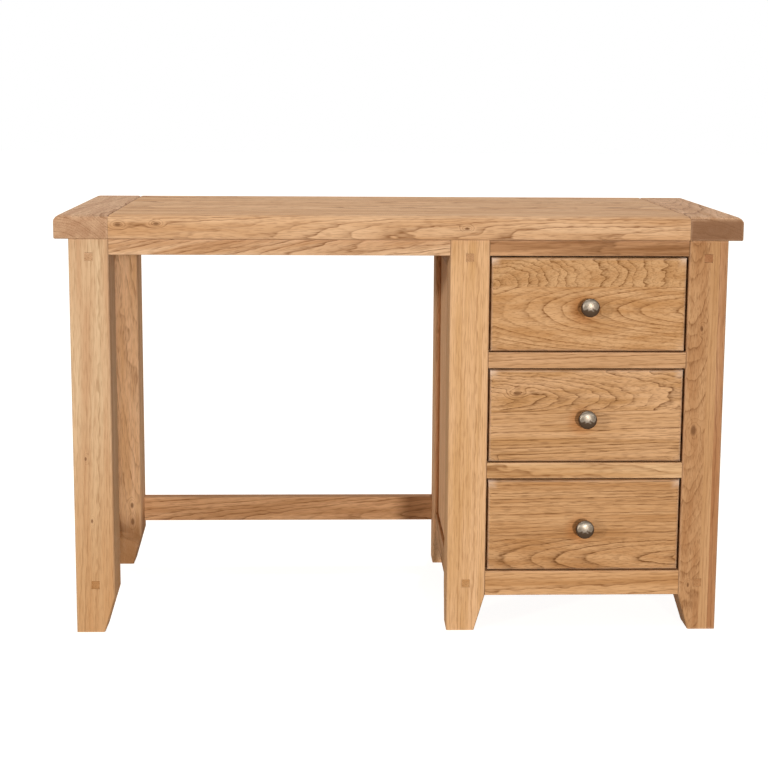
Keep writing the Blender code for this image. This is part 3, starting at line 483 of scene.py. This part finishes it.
# Rails
# Aprons, drawer rails, side rails and the stretcher: straight oak rails, planed and waxed,
# each tenoned into the legs. Their arrises are only broken with sandpaper.
RAIL_EDGE_REACH = 0.0004
RAIL_TONES = {"pale": "#cfa176", "warm": "#b8895b", "line": "#815630"}
DARK_RAIL_TONES = {"pale": "#d8a77a", "warm": "#bd8b5e", "line": "#7a4f2b"}
RAILS = {
    "apron_front": {
        "along": "X", "heart": (-0.45, -0.180, 0.640), "lean": (0, -0.06, 0.16), "ring": 0.006,
        "pale": "#dfb68e", "warm": "#c4956b", "line": "#80532f"},
    "drawer_rail_top": {
        "along": "X", "heart": (0.3, -0.32, 0.70), "lean": (0, 0.02, 0.02),
        "pale": "#c8976c", "warm": "#8f613b", "line": "#694224"},
    "drawer_rail_upper": {
        "along": "X", "heart": (0.3, -0.27, 0.47), "lean": (0, 0.02, 0.012), **RAIL_TONES},
    "drawer_rail_lower": {
        "along": "X", "heart": (0.3, -0.36, 0.33), "lean": (0, 0.02, 0.01),
        "pale": "#d7ad7f", "warm": "#bf8e5c", "line": "#875a33"},
    "drawer_rail_bottom": {
        "along": "X", "heart": (0.3, -0.30, 0.05), "lean": (0, 0.02, 0.015),
        "pale": "#d1a171", "warm": "#ba8857", "line": "#845730"},
    "stretcher_rear": {
        "along": "X", "heart": (0.1, 0.195, 0.10), "lean": (0, 0.04, 0.05), **DARK_RAIL_TONES},
    "apron_rear": {"along": "X", "heart": (0.1, 0.15, 0.62), "lean": (0, 0.01, 0.02), **RAIL_TONES},
    "back_rail_top": {"along": "X", "heart": (0.3, 0.31, 0.62), "lean": (0, 0.02, 0.02), **RAIL_TONES},
    "back_rail_bottom": {"along": "X", "heart": (0.3, 0.30, 0.13), "lean": (0, 0.03, 0.02), **RAIL_TONES},
    "left_end_rail_top": {
        "along": "Y", "heart": (-0.62, 0.0, 0.66), "lean": (0.04, 0, 0.02), **RAIL_TONES},
    "left_end_rail_bottom": {
        "along": "Y", "heart": (-0.63, 0.0, 0.07), "lean": (0.03, 0, 0.03), **RAIL_TONES},
    "pedestal_inner_rail_top": {
        "along": "Y", "heart": (0.04, 0.0, 0.68), "lean": (0.04, 0, 0.02), **RAIL_TONES},
    "pedestal_inner_rail_bottom": {
        "along": "Y", "heart": (0.03, 0.0, 0.08), "lean": (0.03, 0, 0.03), **RAIL_TONES},
    "pedestal_outer_rail_top": {
        "along": "Y", "heart": (0.62, 0.0, 0.66), "lean": (0.04, 0, 0.02), **RAIL_TONES},
    "pedestal_outer_rail_bottom": {
        "along": "Y", "heart": (0.63, 0.0, 0.07), "lean": (0.03, 0, 0.03), **RAIL_TONES},
}
for name, wood in RAILS.items():
    eased(name, RAIL_EDGE_REACH, "table", "oak_frame", oak("waxed_oak_" + name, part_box(name), **wood))


# Panels
# Solid oak panels, glued up from narrow boards and held loose in the grooves of the legs and
# rails, so that they can shrink and swell.
PANEL_TONES = (
    {"pale": "#cfa077", "warm": "#ba885b", "line": "#80532f"},
    {"pale": "#d8ad82", "warm": "#c49568", "line": "#8b5e39"},
    {"pale": "#c7966b", "warm": "#b07d50", "line": "#78502d"},
)
# The inner panel was chosen paler, since it stands in the shade of the kneehole
LIGHT_PANEL_TONES = {"pale": "#f2c699", "warm": "#e3b182", "line": "#b58658", "depth": 0.5}
PANEL_EDGE_REACH = 0.0002
HEART_SHARES, BOARD_LEANS = (0.35, 0.70, 0.50), (0.06, -0.09, 0.05)  # no two boards alike
NEARER_HEART = 0.55  # of the distance, for every second board
PANELS = {  # the axis across the boards, their seams and how far the log's heart lies from the face
    "left_end_panel": (1, (-0.052, 0.066), Vector((-0.055, 0, 0))),
    "pedestal_inner_panel": (1, (-0.060, 0.070), Vector((-0.085, 0, 0))),
    "pedestal_outer_panel": (1, (-0.048, 0.062), Vector((0.055, 0, 0))),
    "back_panel": (0, (0.250, 0.335, 0.420), Vector((0, 0.060, 0))),
}
for name, (across, seams, sawn_from) in PANELS.items():
    low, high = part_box(name)
    edges = (low[across], *seams, high[across])
    woods = []
    for number, (start, end) in enumerate(zip(edges, edges[1:])):
        heart = (low + high) / 2 + sawn_from * (NEARER_HEART if number % 2 else 1.0)
        heart[across] = start + (end - start) * HEART_SHARES[number % 3]
        lean = sawn_from.normalized() * BOARD_LEANS[number % 3]
        tones = LIGHT_PANEL_TONES if name == "pedestal_inner_panel" else PANEL_TONES[number % 3]
        woods.append(oak("waxed_oak_" + name + "_" + str(number), (low, high), "Z", heart,
                         lean=lean, rubbed_and_sheen=0.0, **tones))
    eased(name, PANEL_EDGE_REACH, "table", "oak_frame", *woods, assign=glued(across, *seams))


# Pegs
# Square oak pegs driven through the leg and the side rail's tenon, and sanded level. Each
# shows its darker end grain.
PEG_EDGE_REACH, PEG_RING_WIDTH = 0.0002, 0.0022
PEG_HEART_OFFSET = Vector((0.012, 0.0, -0.018))
PEG_TONES = {
    "peg_left_top": ("#ddb38b", "#cfa47c"), "peg_left_bottom": ("#c08c5a", "#ad7a48"),
    "peg_centre_top": ("#d6a87c", "#c9996d"), "peg_centre_bottom": ("#d6a673", "#c89560"),
    "peg_right_top": ("#b5805a", "#a7714b"), "peg_right_bottom": ("#bd8c60", "#af7d52"),
}
for name, (pale, warm) in PEG_TONES.items():
    low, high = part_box(name)
    eased(name, PEG_EDGE_REACH, "table", "oak_peg", oak(
        "oak_end_grain_" + name, (low, high), "Y", (low + high) / 2 + PEG_HEART_OFFSET,
        pale=pale, warm=warm, line="#8d6038", ring=PEG_RING_WIDTH, end=0.20, rubbed_and_sheen=0.0))


# Runners and kickers
# Plain oak strips inside the pedestal that carry the drawers and keep them level, left
# unstained and lightly waxed so that the drawers slide well.
RUNNER_HEART_OFFSET = Vector((0.03, 0.0, 0.05))


def dress(name, material):
    """Gives a CAD piece that stays as it is its material."""
    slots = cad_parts[name].data.materials
    slots.clear()
    slots.append(material)


for name in sorted(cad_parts):
    if name.startswith(("runner_", "kicker_")):
        low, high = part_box(name)
        heart = (low + high) / 2 + RUNNER_HEART_OFFSET
        dress(name, oak("bare_oak_" + name, (low, high), "Y", heart, pale="#dcbd93", warm="#cba679",
                        line="#a57d51", depth=0.6, rubbed_and_sheen=0.0))


# Top
# A thick board with a board tongued across each end, a V groove at both joints, a round
# nosing along its upper edge and a small round below it. It is stained and waxed.
TOP_TONES = {"pale": "#dbb188", "warm": "#c7986c", "line": "#7f5330"}
GROOVE_JOINT, GROOVE_HALF, GROOVE_BOTTOM, GROOVE_SLOPE = 0.506, 0.0045, 0.7460, 0.4
TOP_SEAMS = (-0.120, 0.005, 0.130)
TOP_PANEL_BOARDS = (
    {"heart": (-0.51, -0.296, 0.725), "lean": (0, 0.05, 0.0), "ring": 0.0055, "wander": 0.022,
     "knots": ((-0.489, -0.240, 0.733, 0.012), (-0.423, -0.240, 0.735, 0.011),
               (0.115, -0.240, 0.728, 0.010))},
    {"heart": (0.1, -0.04, 0.60), "lean": (0, 0.02, 0.05)},
    {"heart": (0.1, 0.09, 0.83), "lean": (0, 0.02, -0.06)},
    {"heart": (0.1, 0.22, 0.64), "lean": (0, -0.02, 0.04)},
)
END_BOARDS = {
    "top_end_left": {
        "heart": (-0.60, 0.0, 0.655), "lean": (0.03, 0, 0.05), "end": 0.20,
        "pale": "#d3ab87", "warm": "#bf9472", "line": "#845b3b"},
    "top_end_right": {
        "heart": (0.52, 0.0, 0.60), "lean": (0.03, 0, 0.05), "end": 0.86,
        "pale": "#d2a782", "warm": "#bd9069", "line": "#7b553a"},
}
GROOVE_STAIN_TOP = 0.7486
TOP_EDGE_REACH, END_EDGE_REACH = 0.0016, 0.0010
TOP_WELD, END_WELD = 0.00045, 0.00030


def in_groove(middle, normal):
    """Whether a face lies in a V groove, where the stain has gathered."""
    return (abs(abs(middle.x) - GROOVE_JOINT) < GROOVE_HALF and middle.z > GROOVE_BOTTOM
            and abs(normal.x) > GROOVE_SLOPE)


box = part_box("top_panel")
woods = [oak("waxed_oak_top_board_" + str(number), box, "X", **{**TOP_TONES, **wood})
         for number, wood in enumerate(TOP_PANEL_BOARDS)]
woods.append(oak("stained_groove_of_top_panel", box, "X", (0.1, -0.04, 0.60), rubbed_and_sheen=0.0,
                 sunk=GROOVE_STAIN_TOP, **TOP_TONES))
eased("top_panel", TOP_EDGE_REACH, "table", "oak_top", *woods, weld=TOP_WELD,
      assign=glued(1, *TOP_SEAMS, groove=in_groove))
for name, wood in END_BOARDS.items():
    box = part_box(name)
    groove = oak("stained_groove_of_" + name, box, "Y", **{
        **wood, "rubbed_and_sheen": 0.0, "sunk": GROOVE_STAIN_TOP})
    eased(name, END_EDGE_REACH, "table", "oak_top", oak("waxed_oak_" + name, box, "Y", **wood),
          groove, weld=END_WELD, assign=glued(1, groove=in_groove))


# Drawers
# Each drawer has a thick oak front, glued up from two boards and well rounded on its face
# edges, half-blind dovetailed to thinner sides. The box is of paler, unstained wood.
FRONT_EDGE_REACH = 0.0008  # the sockets of the dovetails begin 1 mm behind the rounding
MIDDLE_TONES = {"pale": "#d4a679", "warm": "#bb8b5a", "line": "#643b1a"}
LOWER_TONES = {"pale": "#cc9d6e", "warm": "#b58353", "line": "#663d1b"}
FRONTS = {
    "drawer_upper": {
        "seam": 0.626,
        "upper": {"heart": (0.159, -0.215, 0.640), "lean": (0, 0.34, 0.10), "ring": 0.0058,
                  "wander": 0.022, "wave": 1.2,
                  "pale": "#cc9f70", "warm": "#bb8b5b", "line": "#74481f"},
        "lower": {"heart": (0.159, -0.160, 0.587), "lean": (0, -0.17, 0.0), "ring": 0.0058,
                  "wander": 0.005, "wave": 0.35, "pale": "#d0a273", "warm": "#bc8a58",
                  "line": "#784a22"},
    },
    "drawer_middle": {
        "seam": 0.405,
        "upper": {"heart": (0.504, -0.166, 0.440), "lean": (0, 0.15, 0.03), "ring": 0.0048,
                  "wave": 1.1, "knots": ((0.208, -0.232, 0.4355, 0.015),), **MIDDLE_TONES},
        "lower": {"heart": (0.30, -0.24, 0.255), "lean": (0, 0.01, 0.03), "ring": 0.0065,
                  "wave": 0.6, **MIDDLE_TONES,
                  "knots": ((0.160, -0.232, 0.3125, 0.016), (0.503, -0.232, 0.3125, 0.018))},
    },
    "drawer_lower": {
        "seam": 0.170,
        "upper": {"heart": (0.28, -0.245, 0.34), "lean": (0, 0.02, 0.02), "ring": 0.0065,
                  "wave": 0.5, **LOWER_TONES},
        "lower": {"heart": (0.27, -0.195, 0.138), "lean": (0, -0.13, 0.0), "ring": 0.0060,
                  "wander": 0.006, "wave": 0.4, **LOWER_TONES},
    },
}
# On the drawer fronts the paler edges are wear and a painted sheen, the paler corners a painted highlight
PALE_RUB_AND_SHEEN, EDGE_WEAR_AND_SHEEN, CORNER_SHEEN = "#ecd3bd", 0.6, 0.8
KNOB_SHADOW_OFFSET = 0.006  # the painted shadow falls to the left of the knob and below it
LINING_TONES = {"pale": "#e3c79d", "warm": "#d6b585", "line": "#b28b5c", "depth": 0.55}
LINING_HEART_OFFSET, LINING_LEAN = Vector((0.05, 0.04, -0.06)), (0.01, 0.02, 0.02)
LININGS = {"side_left": "Y", "side_right": "Y", "back": "X", "bottom": "Y"}

for drawer, boards in FRONTS.items():
    front = drawer + "_front"
    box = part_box(front)
    knob_low, knob_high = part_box(drawer + "_knob")
    knob_shadow = ((knob_low.x + knob_high.x) / 2 - KNOB_SHADOW_OFFSET, box[0].y,
               (knob_low.z + knob_high.z) / 2 - KNOB_SHADOW_OFFSET)
    woods = [oak("waxed_oak_" + front + "_" + level, box, "X", rubbed_and_sheen=EDGE_WEAR_AND_SHEEN, corner=CORNER_SHEEN,
                 edge_hue=PALE_RUB_AND_SHEEN, knob_shadow=knob_shadow, **boards[level]) for level in ("lower", "upper")]
    eased(front, FRONT_EDGE_REACH, drawer, "oak_front", *woods, assign=glued(2, boards["seam"]))
    for part, along in LININGS.items():
        name = drawer + "_" + part
        low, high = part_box(name)
        heart = (low + high) / 2 + LINING_HEART_OFFSET
        dress(name, oak("bare_oak_" + name, (low, high), along, heart, lean=LINING_LEAN,
                        rubbed_and_sheen=0.0, **LINING_TONES))


# Knobs
# Turned mushroom knobs of cast brass, plated and darkened to an antique pewter, with a bright
# crown that is a painted highlight. A thin collar stands between each knob and the drawer front.
KNOB_CROWN, KNOB_RADIUS, KNOB_DOME, KNOB_RIM = 0.028, 0.0165, 0.0065, 0.0022
NECK_RADIUS, NECK_FLARE = 0.0055, 0.0027
COLLAR_RADIUS, COLLAR_HEIGHT, COLLAR_EDGE = 0.0100, 0.0038, 0.0008
STUD_RADIUS, STUD_LENGTH = 0.0025, 0.016
KNOB_STEPS, DOME_STEPS, CAVE_STEPS, FLARE_STEPS, COLLAR_STEPS = 96, 18, 10, 8, 6
UNDERCUT = 0.55  # how deep the hollow under the head is, as a share of its width
SEAT_GAP = 0.0003  # the collar's clearance from the drawer front
SHARP_ON_KNOB = math.radians(50.0)
# From the bright crown, a painted highlight, to the dark of the tarnished rim and of the painted
# dark reflection below, with a slightly paler band between the two
PEWTER_STOPS = ((0.0, "#a49889"), (0.28, "#716557"), (0.50, "#7c7165"), (0.60, "#4a3b2e"))
CLOUD_SCALE = 140.0  # blotches of tarnish about 7 mm across
# The rim darkens with tarnish and a painted dark reflection, the lower half with a painted dark
# reflection only
RIM_STARTS, RIM_TARNISH_AND_REFLECTION = 0.0115, 0.35
DARK_REFLECTION_LOW, DARK_REFLECTION_HIGH, UNDERSIDE_DARK_REFLECTION = -0.013, 0.010, 0.75
CLOUDS, CLOUD_TARNISH = (0.35, 0.70), 0.25
BRIGHT_ROUGHNESS, DULL_ROUGHNESS = 0.34, 0.48


def knob_outline():
    """Radius and height of the knob, from the middle of the crown to the end of its stud."""
    rim_top = KNOB_CROWN - KNOB_DOME
    points = [(0.0, KNOB_CROWN)]
    for step in range(1, DOME_STEPS + 1):
        angle = math.pi / 2 * step / DOME_STEPS
        points.append((KNOB_RADIUS * math.sin(angle), rim_top + KNOB_DOME * math.cos(angle)))
    rim_low = rim_top - KNOB_RIM
    neck_top = rim_low - (KNOB_RADIUS - NECK_RADIUS) * UNDERCUT
    for step in range(CAVE_STEPS + 1):
        angle = math.pi / 2 * step / CAVE_STEPS
        points.append((KNOB_RADIUS - (KNOB_RADIUS - NECK_RADIUS) * math.sin(angle),
                       neck_top + (rim_low - neck_top) * math.cos(angle)))
    for step in range(FLARE_STEPS + 1):
        angle = math.pi / 2 * step / FLARE_STEPS
        points.append((NECK_RADIUS + NECK_FLARE * (1 - math.cos(angle)),
                       COLLAR_HEIGHT + NECK_FLARE * (1 - math.sin(angle))))
    for step in range(COLLAR_STEPS + 1):
        angle = math.pi / 2 * step / COLLAR_STEPS
        points.append((COLLAR_RADIUS - COLLAR_EDGE * (1 - math.sin(angle)),
                       COLLAR_HEIGHT - COLLAR_EDGE * (1 - math.cos(angle))))
    return points + [(COLLAR_RADIUS, SEAT_GAP), (STUD_RADIUS, SEAT_GAP),
                     (STUD_RADIUS, -STUD_LENGTH), (0.0, -STUD_LENGTH)]


def pewter(name, middle):
    """Antiqued plate: warm grey metal with a painted highlight above, brown at its rim from tarnish and a
    painted dark reflection, and below from a painted dark reflection.
    """
    material, tree = new_material(name)
    place = node(tree, "TexCoord")
    local = node(tree, "Mapping", {
        "Vector": place.outputs["Object"], "Location": middle}, vector_type="TEXTURE")
    cloud = node(tree, "TexNoise", {
        "Vector": local.outputs[0], "Scale": CLOUD_SCALE, "Detail": 3.0})
    ring = node(tree, "VectorMath", {0: local.outputs[0], 1: (1.0, 0.0, 1.0)}, operation="MULTIPLY")
    radius = node(tree, "VectorMath", {0: ring.outputs[0]}, operation="LENGTH")
    rim = node(tree, "MapRange", {
        "Value": radius.outputs["Value"], "From Min": RIM_STARTS, "From Max": KNOB_RADIUS,
        "To Max": RIM_TARNISH_AND_REFLECTION}, interpolation_type="SMOOTHSTEP")
    height = node(tree, "SeparateXYZ", {0: local.outputs[0]}).outputs[2]
    # A painted dark reflection over the lower half of the knob
    dark_reflection_below = node(tree, "MapRange", {
        "Value": height, "From Min": DARK_REFLECTION_LOW, "From Max": DARK_REFLECTION_HIGH,
        "To Min": UNDERSIDE_DARK_REFLECTION, "To Max": 0.0})
    dull = node(tree, "MapRange", {
        "Value": cloud.outputs[0], "From Min": CLOUDS[0], "From Max": CLOUDS[1],
        "To Max": CLOUD_TARNISH})
    tarnish_and_reflection = node(tree, "Math", {0: rim.outputs[0], 1: dull.outputs[0]}, operation="ADD")
    tarnish_and_reflection = node(tree, "Math", {
        0: tarnish_and_reflection.outputs[0], 1: dark_reflection_below.outputs[0]}, operation="ADD", use_clamp=True)
    colour = node(tree, "ValToRGB", {"Fac": tarnish_and_reflection.outputs[0]})
    shape_ramp(colour.color_ramp, [(stop, linear(hue)) for stop, hue in PEWTER_STOPS])
    roughness = node(tree, "MapRange", {
        "Value": tarnish_and_reflection.outputs[0], "To Min": BRIGHT_ROUGHNESS, "To Max": DULL_ROUGHNESS})
    surface = node(tree, "BsdfPrincipled", {
        "Base Color": colour.outputs[0], "Metallic": 1.0, "Roughness": roughness.outputs[0]})
    node(tree, "OutputMaterial", {"Surface": surface.outputs[0]})
    return material


for drawer in FRONTS:
    low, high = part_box(drawer + "_knob")
    seat = Vector(((low.x + high.x) / 2, low.y + KNOB_CROWN, (low.z + high.z) / 2))
    bm = bmesh.new()
    outline = [bm.verts.new(seat + Vector((radius, -height, 0.0))) for radius, height in knob_outline()]
    for point, following in zip(outline, outline[1:]):
        bm.edges.new((point, following))
    bmesh.ops.spin(bm, geom=bm.verts[:] + bm.edges[:], cent=seat, axis=(0, 1, 0),
                   angle=2 * math.pi, steps=KNOB_STEPS, use_merge=True)
    bmesh.ops.remove_doubles(bm, verts=bm.verts, dist=SAME_PLACE)
    bmesh.ops.recalc_face_normals(bm, faces=bm.faces)
    mesh = bpy.data.meshes.new("pewter_" + drawer + "_knob")
    bm.to_mesh(mesh)
    bm.free()
    mesh.shade_smooth()
    mesh.set_sharp_from_angle(angle=SHARP_ON_KNOB)
    knob = bpy.data.objects.new("pewter_" + drawer + "_knob", mesh)
    bpy.context.scene.collection.objects.link(knob)
    mesh.materials.append(pewter("antique_pewter_" + drawer, seat))
    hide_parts(drawer + "_knob")
    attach(knob, drawer)
